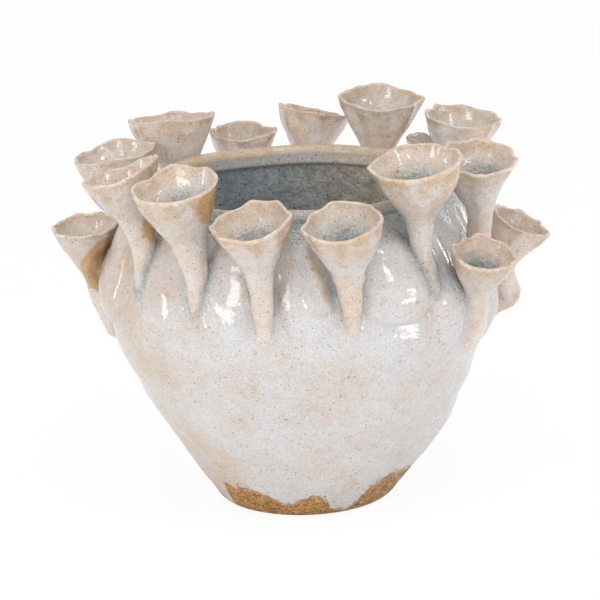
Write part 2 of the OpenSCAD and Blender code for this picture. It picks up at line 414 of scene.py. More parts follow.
def speckled_glaze():
    material = bpy.data.materials.new("speckled_stoneware_glaze")
    tree = empty_tree(material)
    spot = add(tree, "ShaderNodeTexCoord", {}, {}, "Object")
    mark = {}
    for name in ("pool", "ridge", "lip", "stain", "vessel", "bare", "warm", "milk"):
        mark[name] = add(tree, "ShaderNodeAttribute", {"attribute_name": name}, {}, "Fac")

    # Clouds of 40 mm, wisps of 8 mm, flecks of 2.5 mm and grain of 1.4 mm
    clouds = add(tree, NOISE, {}, {"Vector": spot, "Scale": 1 / 0.04, "Detail": 3, "Roughness": 0.55})
    wisps = add(tree, NOISE, {}, {"Vector": spot, "Scale": 1 / 0.008, "Detail": 4, "Roughness": 0.65})
    flecks = add(tree, NOISE, {}, {"Vector": spot, "Scale": 1 / 0.0025, "Detail": 2})
    grain = add(tree, NOISE, {}, {"Vector": spot, "Scale": 1 / 0.0014, "Detail": 2})
    wisp_wander = add(tree, SPAN, {}, [wisps, 0.3, 0.7, -0.3, 0.3])
    fleck_wander = add(tree, SPAN, {}, [flecks, 0.3, 0.7, -0.3, 0.3])

    # Milky ground, clouded with peach, and lightened by painted light on the lower stems, inside the
    # near cups and on the cups at the back
    peach = clouds
    for part, share in ((wisps, 0.6), (flecks, 0.25), (mark["warm"], 0.45)):
        peach = add(tree, MATH, PLUS, [peach, add(tree, MATH, TIMES, [part, share])])
    peach = add(tree, SPAN, SOFT_STEP, [peach, 0.69, 1.49, 0, 1])
    colour = add(tree, MIX, COLOUR, {0: peach, 6: linear("#D2D2D4"), 7: linear("#CBB7A5")}, 2)
    # Painted light: where marked, the colour is brightened by up to 42 percent
    milky = add(tree, SPAN, {}, [mark["milk"], 0, 1, 1, 1.42])
    colour = add(tree, VECTOR_MATH, SCALE, {0: colour, "Scale": milky})

    # Inside the pot the glaze is bluer, and its colour is darkened as painted shade, bluish towards
    # the left and warm towards the right
    slate = add(tree, MATH, PLUS, [mark["warm"], fleck_wander])
    slate = add(tree, MIX, COLOUR, {0: slate, 6: linear("#8497A4"), 7: linear("#C9BDAB")}, 2)
    mottle = wisps
    for part, share in ((flecks, 0.3), (clouds, 0.5)):
        mottle = add(tree, MATH, PLUS, [mottle, add(tree, MATH, TIMES, [part, share])])
    mottle = add(tree, SPAN, {}, [mottle, 0.68, 1.12, 0.75, 1.9])
    slate = add(tree, VECTOR_MATH, SCALE, {0: slate, "Scale": mottle})
    vessel = add(tree, MATH, TIMES, [mark["vessel"], 0.85])
    colour = add(tree, MIX, COLOUR, {0: vessel, 6: colour, 7: slate}, 2)

    # Where it pools it is thick and bluish grey; over lips and ridges it thins to tan
    pool = add(tree, MATH, TIMES, [mark["pool"], add(tree, SPAN, {}, [wisps, 0.3, 0.7, 0.6, 1])])
    colour = add(tree, MIX, COLOUR, {0: pool, 6: colour, 7: linear("#7B8E91")}, 2)
    thin = add(tree, MATH, PLUS, [mark["ridge"], mark["lip"]])
    thin = add(tree, MATH, PLUS, [thin, wisp_wander])
    thin = add(tree, SPAN, SOFT_STEP, [thin, 0.1, 1.1, 0, 0.9])
    colour = add(tree, MIX, COLOUR, {0: thin, 6: colour, 7: linear("#BC9E76")}, 2)
    smudge = add(tree, MATH, PLUS, [wisps, add(tree, MATH, TIMES, [clouds, 0.5])])
    smudge = add(tree, SPAN, SOFT_STEP, [smudge, 0.84, 1.08, 0, 0.35])
    colour = add(tree, MIX, COLOUR, {0: smudge, 6: colour, 7: linear("#C6AC8A")}, 2)
    # Rust colours for the iron stains, and for the painted shade line under the rim's band
    deep = add(tree, SPAN, {}, [mark["stain"], 1.1, 2.2, 0, 0.5])
    deep = add(tree, MATH, MINUS, [wisps, deep])
    rust = add(tree, MIX, COLOUR, {0: deep, 6: linear("#8E6835"), 7: linear("#DDB47A")}, 2)
    stain = add(tree, MATH, PLUS, [mark["stain"], wisp_wander])
    stain = add(tree, SPAN, SOFT_STEP, [stain, 0.3, 0.75, 0, 0.9])
    colour = add(tree, MIX, COLOUR, {0: stain, 6: colour, 7: rust}, 2)
    sand = add(tree, SPAN, {}, [grain, 0.3, 0.7])
    sand = add(tree, MIX, COLOUR, {0: sand, 6: linear("#E6E4E2"), 7: linear("#FFFFFF")}, 2)
    colour = add(tree, MIX, MULTIPLIED, {0: 1.0, 6: colour, 7: sand}, 2)

    # Iron specks of half a millimetre to a millimetre and paler tan freckles, larger and more of
    # them in the pools, inside the pot and by the bare foot
    crowd = add(tree, MATH, MOST, [mark["pool"], mark["vessel"]])
    crowd = add(tree, MATH, MOST, [crowd, add(tree, MATH, TIMES, [mark["bare"], 2.6])])
    crowd = add(tree, SPAN, {}, [crowd, 0, 1, 0.9, 1.35])
    for cell, size, tint, share, strength in (
            (0.0019, 0.28, "#8C7A66", 0.65, 0.6), (0.0027, 0.25, "#5E4B38", 0.7, 0.75),
            (0.0068, 0.13, "#45362A", 0.6, 0.85), (0.0048, 0.3, "#A8865B", 0.6, 0.5)):
        cells = add(tree, CELLS, {}, {"Vector": spot, "Scale": 1 / cell}, "Distance")
        luck = add(tree, "ShaderNodeSeparateColor", {}, [cells.node.outputs["Color"]])
        reach = add(tree, SPAN, {}, [luck, 1 - share, 1, -0.08, size])
        reach = add(tree, MATH, TIMES, [reach, crowd])
        edge = add(tree, MATH, MINUS, [reach, cells])
        dot = add(tree, SPAN, SOFT_STEP, [edge, -0.03, 0.06, 0, strength])
        colour = add(tree, MIX, COLOUR, {0: dot, 6: colour, 7: linear(tint)}, 2)

    # Bare clay at the foot: dry, and toasted unevenly from pale sand to dark brown
    toast_spot = add(tree, "ShaderNodeMapping", {}, {"Vector": spot, "Scale": (260, 260, 420)})
    toast = add(tree, NOISE, {}, {
        "Vector": toast_spot, "Scale": 1, "Detail": 4, "Roughness": 0.7, "Distortion": 1.5})
    clay = add(tree, SPAN, {}, [toast, 0.38, 0.52, 0, 1])
    clay = add(tree, MIX, COLOUR, {0: clay, 6: linear("#6B461F"), 7: linear("#B58548")}, 2)
    pale = add(tree, SPAN, {}, [toast, 0.54, 0.68, 0, 1])
    clay = add(tree, MIX, COLOUR, {0: pale, 6: clay, 7: linear("#E3C79F")}, 2)
    bare = add(tree, MATH, PLUS, [mark["bare"], add(tree, SPAN, {}, [wisps, 0.25, 0.75, -0.22, 0.22])])
    bare = add(tree, MATH, PLUS, [bare, add(tree, SPAN, {}, [flecks, 0.3, 0.7, -0.08, 0.08])])
    bare_edge = add(tree, SPAN, SOFT_STEP, [bare, 0.3, 0.5, 0, 0.85])
    bare = add(tree, SPAN, SOFT_STEP, [bare, 0.49, 0.56, 0, 1])
    colour = add(tree, MIX, COLOUR, {0: bare_edge, 6: colour, 7: linear("#967A59")}, 2)
    colour = add(tree, MIX, COLOUR, {0: bare, 6: colour, 7: clay}, 2)

    rough = add(tree, SPAN, {}, [thin, 0, 0.8, 0.07, 0.36])
    rough = add(tree, MIX, {}, {0: bare, 2: rough, 3: 0.85})
    ripple = add(tree, NOISE, {}, {"Vector": spot, "Scale": 1 / 0.0035, "Detail": 2})
    wet = add(tree, SPAN, {}, [mark["pool"], 0, 0.6, 0.08, 1])
    relief = add(tree, "ShaderNodeBump", {}, {
        "Height": add(tree, MATH, TIMES, [ripple, wet]), "Strength": 1.0, "Distance": 0.0018})
    relief = add(tree, "ShaderNodeBump", {}, {
        "Height": grain, "Strength": 0.1, "Distance": 0.0002, "Normal": relief})
    relief = add(tree, "ShaderNodeBump", {}, {
        "Height": add(tree, MATH, TIMES, [toast, bare]), "Strength": 0.8, "Distance": 0.001,
        "Normal": relief})
    shader = add(tree, "ShaderNodeBsdfPrincipled", {}, {
        "Base Color": colour, "Roughness": rough, "IOR": 1.55, "Normal": relief})
    add(tree, "ShaderNodeOutputMaterial", {}, {"Surface": shader})
    return material


glaze = speckled_glaze()

# Trumpets. Each is a thin cup pinched out of a ball of the same clay and drawn down to a
# tapering stem. Its lip is left ragged and wavy. There are sixteen, counted round the pot from
# the front towards the right; places and sizes are in millimetres and degrees.

# Each: its name; turn of the mouth's middle, its distance past the rim and its rise over the rim;
# width across the lip, and depth from there to the stem; lean of the cup outwards, and sideways
# towards a greater turn; turn of the stem's end, and its drop below the rim; thickness of the
# stem under the cup, and at its end; and the places that draw the stem aside, each a turn, a
# distance past the rim and a drop below it
TRUMPETS = [
    ["trumpet_01", [11.5, 44, 2], [60, 47], [12.5, -9.5], [15, 86], [23, 9], []],
    ["trumpet_02", [35.5, 34, 37], [69, 52], [1, -9.5], [43, 63], [20.5, 9], []],
    ["trumpet_03", [54.5, 52, -40], [50, 38], [18, -6.5], [60, 116], [17, 11], []],
    ["trumpet_04", [67.5, 31, 24], [60, 43], [11, -9.5], [75, 76], [21, 13], [[71, 39, 22]]],
    ["trumpet_05", [98, 58, -46], [47, 30], [25.5, -13.5], [101, 121], [22, 21],
     [[96, 8, 100], [98, 84, 114]]],
    ["trumpet_06", [122, 39, 25], [59, 45], [5.5, -7], [118, 75], [19, 10], []],
    ["trumpet_07", [137, 52, -4], [52, 40], [7, -6], [135, 84], [18, 10], []],
    ["trumpet_08", [151.5, 28, 33], [66, 50], [-1, -4.5], [151, 68], [19, 10], []],
    ["trumpet_09", [174, 44, 16], [57.5, 44], [8, -12], [171, 78], [18, 10], []],
    ["trumpet_10", [196, 34, 5.5], [54, 41], [-2.5, -1.5], [197, 80], [18, 10], []],
    ["trumpet_11", [220.5, 34, 24.5], [68, 51], [7.5, -3.5], [220, 72], [20, 11], []],
    ["trumpet_12", [244, 42, 7.5], [64, 48], [6.5, 4], [243, 80], [19, 11], []],
    ["trumpet_13", [265.5, 48, -35], [51.5, 38], [6, 7.5], [270, 114], [22, 15], []],
    ["trumpet_14", [299, 35, 25.5], [58.5, 44], [14, -10], [301, 63], [24.5, 11], []],
    ["trumpet_15", [325.5, 42, 27], [65, 50], [9.5, -2.5], [327, 72], [24, 11], []],
    ["trumpet_16", [347.5, 44, 4.5], [59.5, 45], [12.5, -6.5], [349, 89], [20, 12.5], []],
]
# How far each lip stands up at its front, its front right, its right and so on round it
LIP_RISES = [
    [-1, 1, 0, -1, 2, -1, 0, 1], [-2, -1, 0, -1, 2, 0, 0, -1],
    [0, 1, 0, 0, 2, -1, 0, 0], [-2, 1, 0, 1, 0, 0, 0, -1],
    [0, 1, 1, -1, -1, -1, 1, -1], [-2, 0, 1, 1, 1, 1, 0, -1],
    [0, -1, 1, 0, -1, 1, 0, 1], [-3, -1, 1, -1, 2, 0, 1, -1],
    [1, 1, 0, -1, -1, 0, 1, 0], [-2, 1, 0, -1, 1, -1, 0, -2],
    [0, -1, 2, 0, 2, 0, 1, -1], [2, 0, 1, 1, 3, 0, -1, 0],
    [-1, -1, 1, -1, 0, 0, 0, 0], [-3, 1, 3, 0, -3, 1, 0, -1],
    [-2, -1, 1, 1, 4, 0, 0, -1], [-3, -1, 1, 2, 2, 0, 0, 0],
]
lip_t = 3
stem_clay = 4.5
bore_past_cup = 8
dent_depth = 4
skin_rings = 156
skin_sides = 112


def outward(turn):
    """Direction away from the pot's axis at a turn."""
    return np.array([math.sin(math.radians(turn)), -math.cos(math.radians(turn)), 0])


def sideways(turn):
    """Direction along the wall towards a greater turn."""
    return np.array([math.cos(math.radians(turn)), math.sin(math.radians(turn)), 0])


def place(turn, past_rim, rise):
    """The point that far past the rim and over it."""
    return outward(turn) * (rim_r + past_rim) + np.array([0, 0, pot_h + rise])


# The end of a stem sinks into the wall by tail_sink over its last tail_reach
tail_sink = 1.5
tail_reach = 12
line_steps = 120


def middle_line(trumpet):
    """The trumpet's middle line from its mouth to the stem's end, and its cup's length on it."""
    _, mouth, cup, lean, tail, _, bow = trumpet
    start = place(*mouth)
    axis = outward(mouth[0]) * math.tan(math.radians(lean[0]))
    axis = unit(axis + sideways(mouth[0]) * math.tan(math.radians(lean[1])) + np.array([0, 0, 1]))
    z = pot_h - tail[1]
    end = outward(tail[0]) * np.interp(z, outline[:, 1], outline[:, 0]) + np.array([0, 0, z])
    rise = 6
    step = np.interp([z + rise, z - rise], outline[:, 1], outline[:, 0])
    up_wall = unit(outward(tail[0]) * (step[0] - step[1]) + np.array([0, 0, 2 * rise]))
    pull = np.linalg.norm(start - end) / 3
    places = [place(turn, past, -drop) for turn, past, drop in bow]
    line, share = bezier([start, start - axis * pull, *places, end + up_wall * pull, end], line_steps)
    way = way_along(line)
    cup_way = np.interp(cup[1] / way[-1], share, way)
    turn = turn_of(line)
    down_stem = np.clip((way - cup_way) / (way[-1] - cup_way), 0, 1)
    bulge = np.mean([swell(turn + aside, line[:, 2]) for aside in (-3, 0, 3)], 0)
    sink = tail_sink * soft_step((way - way[-1] + tail_reach) / tail_reach)
    shift = bulge * down_stem ** 2 - sink
    line[:, :2] += unit(line[:, :2]) * shift[:, None]
    return line, cup_way


def trumpet_skin():
    """Skins a middle line that starts at the mouth: up the outside from the stem's rounded end,
    over the lip, and down the inside of the cup to the round end of its bore."""
    tree = bpy.data.node_groups.new("trumpet skin", "GeometryNodeTree")
    tree.interface.new_socket("Middle Line", in_out="INPUT", socket_type="NodeSocketGeometry")
    for name in ("Cup Radius", "Cup Depth", "Stem Radius", "End Radius", "Line Length",
                 "Lip Thickness", "Stem Clay", "Bore Past Cup", "Pinch", "Seed"):
        tree.interface.new_socket(name, in_out="INPUT", socket_type="NodeSocketFloat")
    tree.interface.new_socket("Glaze", in_out="INPUT", socket_type="NodeSocketMaterial")
    tree.interface.new_socket("Trumpet", in_out="OUTPUT", socket_type="NodeSocketGeometry")
    given = add(tree, "NodeGroupInput", {}, {}).node.outputs

    # The grid's first direction runs along the skin and its second one round it
    outside_share = 0.58
    lip_share = 0.63
    grid = add(tree, "GeometryNodeMeshGrid", {}, {
        "Vertices X": skin_rings, "Vertices Y": skin_sides + 1, "Size X": 1, "Size Y": 1})
    spot = add(tree, "ShaderNodeSeparateXYZ", {}, [add(tree, "GeometryNodeInputPosition", {}, {})])
    along = add(tree, MATH, PLUS, [spot, 0.5])
    angle = add(tree, MATH, TIMES, [spot.node.outputs["Y"], 2 * math.pi])

    # Distance below the lip, measured down the middle line
    half_lip = add(tree, MATH, TIMES, [given["Lip Thickness"], 0.5])
    stem_tip = add(tree, MATH, PLUS, [given["Line Length"], given["End Radius"]])
    bore_end = add(tree, MATH, PLUS, [given["Cup Depth"], given["Bore Past Cup"]])
    lip_turn = add(tree, SPAN, {}, [along, outside_share, lip_share, 0, math.pi])
    down_outside = add(tree, SPAN, {}, [along, 0, outside_share, stem_tip, half_lip])
    down_inside = add(tree, SPAN, {}, [along, lip_share, 1, 0, bore_end])
    under_lip = add(tree, MATH, PLUS, [down_outside, down_inside])
    lip_height = add(tree, MATH, TIMES, [half_lip, add(tree, MATH, {"operation": "SINE"}, [lip_turn])])
    below_lip = add(tree, MATH, MINUS, [under_lip, lip_height])
    inside = add(tree, SPAN, {}, [along, outside_share, lip_share, 0, 1])
    inward = add(tree, SPAN, {}, [add(tree, MATH, COSINE, [lip_turn]), 1, -1, 0, 1])

    # The cup narrows to its stem as a cone, rounded off at the stem and swelled a little by a
    # soft S, and the stem tapers to its end
    cone_share = 0.6
    cone_round = 0.1
    s_power = 1.15
    down = add(tree, MATH, OVER, [under_lip, given["Cup Depth"]])
    above = add(tree, MATH, MINUS, [1.0, down])
    hyperbola = add(tree, MATH, {"operation": "MULTIPLY_ADD"}, [above, above, cone_round ** 2])
    hyperbola = add(tree, MATH, POWER, [hyperbola, 0.5])
    cone = add(tree, MATH, TIMES, [add(tree, MATH, PLUS, [above, hyperbola]), cone_share / 2])
    down_cup = add(tree, MATH, LEAST, [down, 1])
    bend = add(tree, MATH, TIMES, [add(tree, MATH, POWER, [down_cup, s_power]), math.pi])
    soft_s = add(tree, SPAN, {}, [add(tree, MATH, COSINE, [bend]), -1, 1, 0, 1 - cone_share])
    flare = add(tree, MATH, PLUS, [cone, soft_s])
    stem = add(tree, SPAN, {}, [under_lip, given["Cup Depth"], given["Line Length"],
                                given["Stem Radius"], given["End Radius"]])
    spread = add(tree, MATH, MINUS, [given["Cup Radius"], given["Stem Radius"]])
    outer = add(tree, MATH, PLUS, [stem, add(tree, MATH, TIMES, [flare, spread])])
    clay = add(tree, SPAN, {}, [down_cup, 0, 1, given["Lip Thickness"], given["Stem Clay"]])
    radius = add(tree, MATH, MINUS, [outer, add(tree, MATH, TIMES, [clay, inward])])

    # Both ends close in a rounded tip
    past_end = add(tree, MATH, MINUS, [below_lip, given["Line Length"]])
    past_end = add(tree, MATH, MOST, [past_end, 0])
    tip = add(tree, MATH, OVER, [past_end, given["End Radius"]])
    bore_tip_length = 0.006
    bore_tip = add(tree, MATH, MINUS, [below_lip, bore_end])
    bore_tip = add(tree, SPAN, {}, [bore_tip, -bore_tip_length, 0, 0, inside])
    tip = add(tree, MATH, POWER, [add(tree, MATH, MOST, [tip, bore_tip]), 2])
    closing = add(tree, MATH, POWER, [add(tree, SPAN, {}, [tip, 0, 1, 1, 0]), 0.5])
    radius = add(tree, MATH, TIMES, [radius, closing])

    # The clay is dented a little by the fingers, alike on both sides of the thin wall
    curve = add(tree, "GeometryNodeMeshToCurve", {}, [given["Middle Line"]])
    sample = {"mode": "LENGTH", "use_all_curves": True}
    line = add(tree, "GeometryNodeSampleCurve", sample, {0: curve, "Length": below_lip}, "Position")
    ahead = line.node.outputs["Tangent"]
    radial = add(tree, "ShaderNodeVectorRotate", {"rotation_type": "AXIS_ANGLE"}, {
        "Vector": line.node.outputs["Normal"], "Axis": ahead, "Angle": angle})
    middle = add(tree, VECTOR_MATH, SCALE, {0: ahead, "Scale": past_end})
    middle = add(tree, VECTOR_MATH, PLUS, [middle, line])
    clay_spot = add(tree, VECTOR_MATH, SCALE, {0: radial, "Scale": outer})
    clay_spot = add(tree, VECTOR_MATH, PLUS, [clay_spot, middle])
    thumb = 0.017
    dents = add(tree, "ShaderNodeTexNoise", {"noise_dimensions": "4D"}, {
        "Vector": clay_spot, "W": given["Seed"], "Scale": 1 / thumb, "Detail": 1.5})
    dents = add(tree, MATH, TIMES, [add(tree, MATH, MINUS, [dents, 0.5]), given["Pinch"]])
    radius = add(tree, MATH, PLUS, [radius, add(tree, MATH, TIMES, [dents, closing])])
    reach = add(tree, VECTOR_MATH, SCALE, {0: radial, "Scale": radius})
    reach = add(tree, VECTOR_MATH, PLUS, [reach, middle])

    skin = grid
    for name, kind, value in (("below_lip", "FLOAT", below_lip), ("inside", "FLOAT", inside),
                              ("middle", "FLOAT_VECTOR", middle)):
        skin = add(tree, "GeometryNodeStoreNamedAttribute", {"data_type": kind}, {
            "Geometry": skin, "Name": name, "Value": value})
    skin = add(tree, "GeometryNodeSetPosition", {}, {"Geometry": skin, "Position": reach})
    seam = 0.00002
    skin = add(tree, "GeometryNodeMergeByDistance", {}, {"Geometry": skin, "Distance": seam})
    skin = add(tree, "GeometryNodeSetShadeSmooth", {}, {"Geometry": skin})
    skin = add(tree, "GeometryNodeRealizeInstances", {}, {"Geometry": skin})
    skin = add(tree, "GeometryNodeSetMaterial", {}, {"Geometry": skin, "Material": given["Glaze"]})
    add(tree, "NodeGroupOutput", {}, {"Trumpet": skin})
    return tree


def skin_trumpet(tree, trumpet, line, cup_way, seed):
    """A trumpet's mesh, before its lip is pinched and its stem is luted to the wall."""
    name, _, cup, _, _, stem, _ = trumpet
    holder_mesh = bpy.data.meshes.new(name + "_line")
    steps = range(len(line) - 1)
    holder_mesh.from_pydata((line * MM).tolist(), [(i, i + 1) for i in steps], [])
    holder = put_in_scene(name + "_line", holder_mesh)
    skinning = holder.modifiers.new("skin", "NODES")
    skinning.node_group = tree
    sizes = {
        "Cup Radius": cup[0] / 2 * MM, "Cup Depth": cup_way * MM, "Stem Radius": stem[0] / 2 * MM,
        "End Radius": stem[1] / 2 * MM, "Line Length": way_along(line)[-1] * MM,
        "Lip Thickness": lip_t * MM, "Stem Clay": stem_clay * MM, "Bore Past Cup": bore_past_cup * MM,
        "Pinch": dent_depth * MM, "Seed": float(seed), "Glaze": glaze,
    }
    for item in tree.interface.items_tree:
        if item.name in sizes:
            skinning[item.identifier] = sizes[item.name]
    shaped = holder.evaluated_get(bpy.context.evaluated_depsgraph_get())
    mesh = bpy.data.meshes.new_from_object(shaped)
    holder.modifiers.remove(skinning)
    bpy.data.objects.remove(holder)
    mesh.name = name
    return mesh


def pinch_lip(points, middle, below_lip, cup, axis, rises, seed):
    """Draws a lip up and down, and squeezes it between fingers into corners with dents between."""
    lip_reach = 7
    corner_rise = 0.9
    dent_sharpness = 1.6
    stem_r = 9
    draw = np.random.default_rng(seed)
    radial = unit(points - middle)
    compass = turn_of(radial) % 360
    fingers = draw.integers(6, 9)
    corners = (np.arange(fingers) + draw.uniform(-0.3, 0.3, fingers)) * 360 / fingers
    corners = np.append(corners, corners[0] + 360)
    past_first = (compass - corners[0]) % 360 + corners[0]
    dent = np.clip(np.searchsorted(corners, past_first, "right") - 1, 0, fingers - 1)
    share = (past_first - corners[dent]) / (corners[dent + 1] - corners[dent])
    hollow_out = np.sin(np.clip(share, 0, 1) * math.pi) ** dent_sharpness
    low = draw.uniform(0.3, 1.4, fingers)[dent] * hollow_out
    inwards = draw.uniform(0.5, 2.2, fingers)[dent] * hollow_out
    ragged = sum(
        draw.uniform(0.03, 0.14) * np.sin(np.radians(compass) * waves + draw.uniform(0, 2 * math.pi))
        for waves in range(8, 19, 2))
    rises = np.array(rises, float)
    apart = 360 / len(rises)
    before = (compass // apart).astype(int) % len(rises)
    onward = soft_step(compass % apart / apart)
    drawn_up = rises[before] * (1 - onward) + rises[(before + 1) % len(rises)] * onward
    down_cup = np.clip(below_lip / cup[1], 0, 1)
    whole_cup = (1 - down_cup) ** 1.5
    lip_only = np.exp(-np.maximum(below_lip, 0) / lip_reach)
    up = drawn_up * whole_cup + (corner_rise - low + ragged) * lip_only
    out = (1 - inwards) * whole_cup + 0.5 * ragged * lip_only
    wall_slope = (cup[0] / 2 - stem_r) / cup[1]
    way_up = axis + radial * wall_slope
    moved = way_up * up[:, None] + radial * out[:, None]
    return points + moved * (down_cup < 1)[:, None]


# Luting. Each stem is pressed onto the wall and its clay smeared out into it, so that the glaze
# runs over both. The two skins are drawn into one soft corner, and beyond the middle of that
# corner each dips just under the other. A cup is free of the wall down to lute_from of its depth,
# and no stem lies deeper in the wall than deepest.
corner = 4.5
furthest_lift = 2.6
dip = 0.8
dip_over = 1.2
lute_from = 0.6
lute_fade = 0.15
deepest = 4
no_stem_near = 50.0
lifts = np.linspace(0, furthest_lift, 14)


def lift_to_corner(other):
    """How far points leave their own skin to lie on the soft corner with another skin, from
    their distances to that one at each of the lifts."""
    overlap = np.maximum(corner - np.abs(lifts - other), 0)
    joined = np.minimum(lifts, other) - overlap ** 2 / (4 * corner)
    within = joined <= 1e-6
    last = np.where(within.any(1), within.shape[1] - 1 - np.argmax(within[:, ::-1], 1), 0)
    after = np.minimum(last + 1, len(lifts) - 1)
    point = np.arange(len(other))
    low, high = joined[point, last], joined[point, after]
    share = np.where(high > low, np.clip(-low / np.maximum(high - low, 1e-9), 0, 1), 0)
    lift = lifts[last] + share * (lifts[after] - lifts[last])
    other_there = other[point, last] + share * (other[point, after] - other[point, last])
    return lift - dip * soft_step((lift - other_there) / dip_over)


def stem_balls(points, middle, below_lip, depth):
    """The stem's outside as a row of balls, given by their middles and radii."""
    from_depth = 0.45
    balls = 110
    order = np.argsort(below_lip)
    ring_starts = order[::skin_sides]
    centres = middle[ring_starts]
    ring_below = below_lip[ring_starts]
    radii = np.linalg.norm(points - middle, axis=1)[order]
    ring_radius = np.array([radii[k:k + skin_sides].mean() for k in range(0, len(order), skin_sides)])
    ball_below = np.linspace(from_depth * depth, ring_below.max(), balls)
    ball_at = [np.interp(ball_below, ring_below, centres[:, k]) for k in range(3)]
    return np.stack(ball_at, 1), np.interp(ball_below, ring_below, ring_radius)


def lute_stem(points, normals, below_lip, depth, on_outside):
    """The stem's side of the soft corner: its points there, and their gap to the wall."""
    luted = on_outside & (below_lip > lute_from * depth)
    gap, away = wall_gap(points)
    facing = (away * normals).sum(1)
    near = luted & (gap < corner + furthest_lift)
    lift = np.zeros(len(points))
    lift[near] = lift_to_corner(gap[near, None] + lifts[None] * facing[near, None])
    lift *= soft_step((below_lip / depth - lute_from) / lute_fade)
    points = points + normals * lift[:, None]
    gap, away = wall_gap(points)
    sunk = np.where(luted, np.maximum(-deepest - gap, 0), 0)
    return points + away * sunk[:, None], gap


def lute_wall(points, normals, stems):
    """The wall's side of the corner: how far its points are lifted, and how far from a stem."""
    search = 14
    past_ball = 2.5
    lift = np.zeros(len(points))
    nearest = np.full(len(points), no_stem_near)
    for centres, radii in stems:
        reach = radii.max() + search
        box_low = centres.min(0) - reach
        box_high = centres.max(0) + reach
        close = np.flatnonzero(((points > box_low) & (points < box_high)).all(1))
        p = points[close]
        n = normals[close]
        away = np.linalg.norm(p[:, None] - centres[None], axis=-1) - radii[None]
        best = away.argmin(1)
        nearest[close] = np.minimum(nearest[close], away[np.arange(len(p)), best])

        # Up to past_ball along it from a ball's middle, the stem counts as a straight rod
        axis = unit(np.gradient(centres, axis=0))[best]
        off = p - centres[best]
        ahead = (off * axis).sum(1)[:, None]
        abreast = np.abs(ahead) < past_ball
        off = off - axis * ahead * abreast
        rise = n - axis * (n * axis).sum(1)[:, None] * abreast
        lifted = off[:, None] + rise[:, None] * lifts[None, :, None]
        distance = np.linalg.norm(lifted, axis=-1) - radii[best][:, None]
        this_lift = lift_to_corner(distance)
        stronger = np.abs(this_lift) > np.abs(lift[close])
        lift[close] = np.where(stronger, this_lift, lift[close])
    return lift, nearest


def read(mesh, name, width):
    """What the skin has kept on each point under that name: a number, or a vector of three."""
    values = np.zeros(len(mesh.vertices) * width)
    key = "vector" if width == 3 else "value"
    mesh.attributes[name].data.foreach_get(key, values)
    return values.reshape(-1, width) if width > 1 else values


def mark_points(mesh, **marks):
    """Keeps numbers for the glaze on a mesh's points."""
    for name, values in marks.items():
        attribute = mesh.attributes.new(name, "FLOAT", "POINT")
        attribute.data.foreach_set("value", np.ascontiguousarray(values, np.float32).ravel())


def bulge_marks(points, normals, edges, passes):
    """How far each point stands out from its smoothed surroundings, in millimetres."""
    count = np.bincount(edges.ravel(), minlength=len(points))[:, None]
    smoothed = points
    for _ in range(passes):
        total = np.zeros_like(points)
        np.add.at(total, edges[:, 0], smoothed[edges[:, 1]])
        np.add.at(total, edges[:, 1], smoothed[edges[:, 0]])
        smoothed = total / count
    return ((points - smoothed) * normals).sum(1)


def mesh_arrays(mesh):
    points = np.zeros(len(mesh.vertices) * 3)
    mesh.vertices.foreach_get("co", points)
    normals = np.zeros(len(mesh.vertices) * 3, np.float32)
    mesh.vertices.foreach_get("normal", normals)
    edges = np.zeros(len(mesh.edges) * 2, np.int32)
    mesh.edges.foreach_get("vertices", edges)
    return points.reshape(-1, 3) / MM, normals.reshape(-1, 3).astype(float), edges.reshape(-1, 2)


# Rusty stains where iron bled through, in degrees and millimetres: trumpet, compass point of the
# spot, its distance below the lip and its reach
STAINS = [
    ["trumpet_01", 280, 12, 5], ["trumpet_11", 300, 8, 5],
    ["trumpet_13", 50, 22, 13], ["trumpet_13", 58, 33, 15], ["trumpet_13", 30, 36, 14],
    ["trumpet_13", 4, 39, 11], ["trumpet_13", 52, 46, 10],
    ["trumpet_14", 62, 22, 9], ["trumpet_14", 62, 38, 11], ["trumpet_14", 70, 50, 9],
    ["trumpet_15", 58, 10, 14], ["trumpet_15", 78, 21, 12], ["trumpet_16", 72, 16, 8],
]


def stain_marks(name, radial, below_lip):
    """How stained a trumpet's points are."""
    strength = 1.1
    compass = turn_of(radial)
    middle_distance = np.hypot(radial[:, 0], radial[:, 1])
    stain = np.zeros(len(below_lip))
    for stained, stain_compass, stain_below, stain_reach in STAINS:
        if stained == name:
            aside = np.radians((compass - stain_compass + 180) % 360 - 180) * middle_distance
            far = np.hypot(aside, below_lip - stain_below) / stain_reach
            stain = stain + strength * np.exp(-far ** 2)
    return stain
